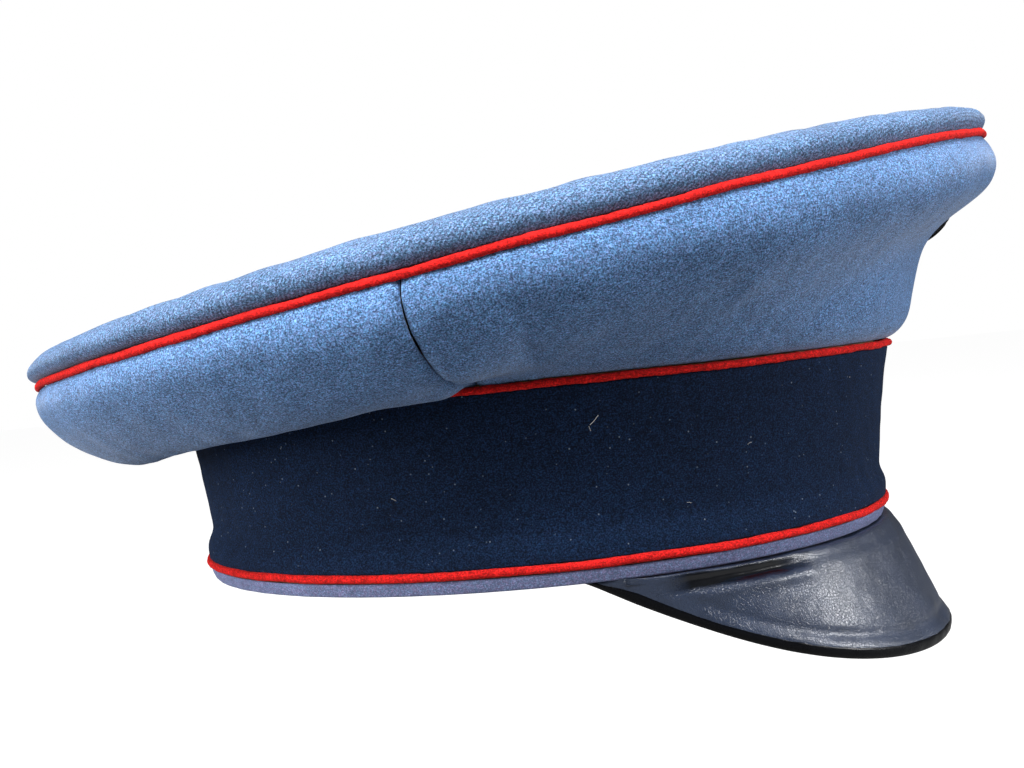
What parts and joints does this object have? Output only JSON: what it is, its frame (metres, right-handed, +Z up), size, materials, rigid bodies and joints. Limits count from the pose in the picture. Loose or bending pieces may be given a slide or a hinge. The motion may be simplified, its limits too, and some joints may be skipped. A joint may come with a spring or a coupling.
{
  "type": "military peaked cap",
  "caption": "Stiff-banded peaked cap with a wide raked cloth crown, piped seams, a leather sweatband, a lacquered peak and a plain front cockade; worn on the head.",
  "frame": {"origin": "centre of the head opening, level with the lower edge of the band", "axes": "+X forward over the peak, +Y to the wearer's left, +Z up through the crown"},
  "size_m": [0.2929, 0.2576, 0.1489],
  "materials": {
    "crown_cloth": "felted twill wool, matt",
    "band_cloth": "felted wool, matt",
    "piping_cloth": "felt piping, matt",
    "edge_cloth": "felted wool, matt",
    "canvas": "stiff woven canvas",
    "wadding": "loose cotton wadding",
    "spring_steel": "oiled spring steel",
    "brass": "plain brass",
    "board": "pressed board",
    "sweat_leather": "smooth tan leather",
    "tab_leather": "soft brown leather",
    "reed": "split cane",
    "lining_cloth": "satin weave lining",
    "clear_sheet": "clear soft sheet",
    "peak_lacquer": "black lacquered leather on fibre, glossy",
    "peak_underside": "smooth dark leather, satin",
    "peak_edge": "black lacquered edge, glossy",
    "cockade_black": "black enamel, semi-gloss"
  },
  "bodies": {
    "root": {"crown_top_panel": "crown_cloth", "crown_top_interlining": "canvas", "crown_quarter_front_left": "crown_cloth", "crown_quarter_front_right": "crown_cloth", "crown_quarter_rear_left": "crown_cloth", "crown_quarter_rear_right": "crown_cloth", "crown_front_interlining": "canvas", "crown_welt_piping": "piping_cloth", "crown_hoop_wire": "spring_steel", "crown_hoop_ferrule": "brass", "crown_hoop_padding": "wadding", "front_stay": "spring_steel", "band_cloth": "band_cloth", "band_upper_piping": "piping_cloth", "band_lower_piping": "piping_cloth", "band_edge_binding": "edge_cloth", "band_stiffener": "board", "sweatband": "sweat_leather", "sweatband_reed": "reed", "sweatband_rear_tab": "tab_leather", "lining_side_left": "lining_cloth", "lining_side_right": "lining_cloth", "lining_top": "lining_cloth", "sweat_shield": "clear_sheet", "peak_shell": "peak_lacquer", "peak_lining": "peak_underside", "peak_rim_binding": "peak_edge", "cockade_ring": "cockade_black", "cockade_centre": "cockade_black", "cockade_prongs": "brass"}
  },
  "joints": []
}
